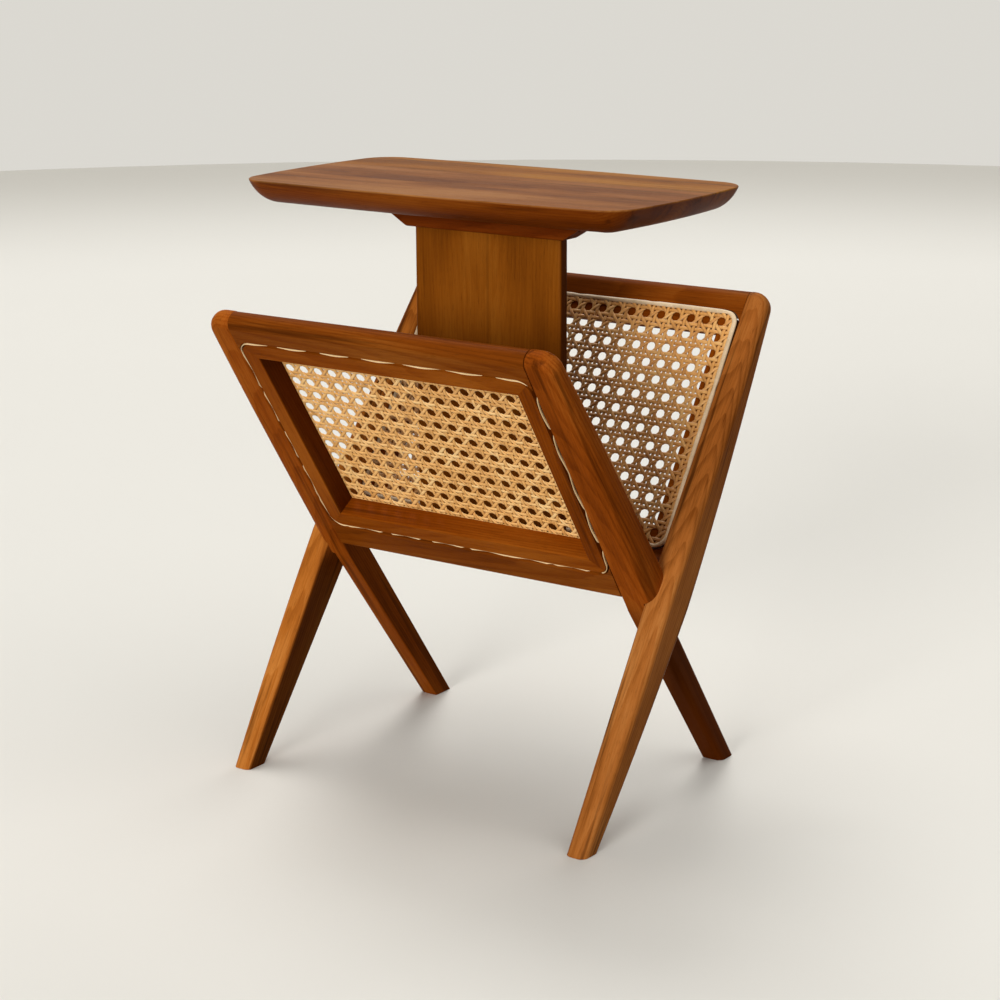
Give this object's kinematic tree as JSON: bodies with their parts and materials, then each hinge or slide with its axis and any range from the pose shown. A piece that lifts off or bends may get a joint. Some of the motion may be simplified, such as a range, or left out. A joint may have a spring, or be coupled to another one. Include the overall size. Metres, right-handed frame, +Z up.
{
  "type": "side table with magazine rack",
  "caption": "Side table: a rounded plank top on an upright board, carried by crossed leaning frames whose woven cane panels form a magazine rack.",
  "frame": {"origin": "on the floor, under the middle of the table", "axes": "+X along the tabletop to the right, +Y to the back, +Z up"},
  "size_m": [0.417, 0.3566, 0.55],
  "materials": {
    "teak_top": "satin oiled teak",
    "teak_board": "satin oiled teak",
    "teak_frame": "satin oiled teak",
    "cane": "woven natural cane",
    "rattan": "pale split rattan",
    "dowel_wood": "fluted hardwood dowel",
    "steel": "zinc plated steel"
  },
  "bodies": {
    "root": {"batten_screws": "steel", "board_dowels": "dowel_wood", "centre_board": "teak_board", "crossing_dowels": "dowel_wood", "front_bottom_rail": "teak_frame", "front_cane_spline": "rattan", "front_cane_web": "cane", "front_frame_dowels": "dowel_wood", "front_frame_left_leg": "teak_frame", "front_frame_right_leg": "teak_frame", "front_groove_reed": "rattan", "front_insert_bottom": "teak_frame", "front_insert_left": "teak_frame", "front_insert_pins": "steel", "front_insert_right": "teak_frame", "front_insert_top": "teak_frame", "front_top_rail": "teak_frame", "plank_dowels": "dowel_wood", "rear_bottom_rail": "teak_frame", "rear_cane_spline": "rattan", "rear_cane_web": "cane", "rear_frame_dowels": "dowel_wood", "rear_frame_left_leg": "teak_frame", "rear_frame_right_leg": "teak_frame", "rear_groove_reed": "rattan", "rear_insert_bottom": "teak_frame", "rear_insert_left": "teak_frame", "rear_insert_pins": "steel", "rear_insert_right": "teak_frame", "rear_insert_top": "teak_frame", "rear_top_rail": "teak_frame", "top_batten": "teak_board", "top_plank_back": "teak_top", "top_plank_front": "teak_top", "top_plank_middle": "teak_top"}
  },
  "joints": []
}
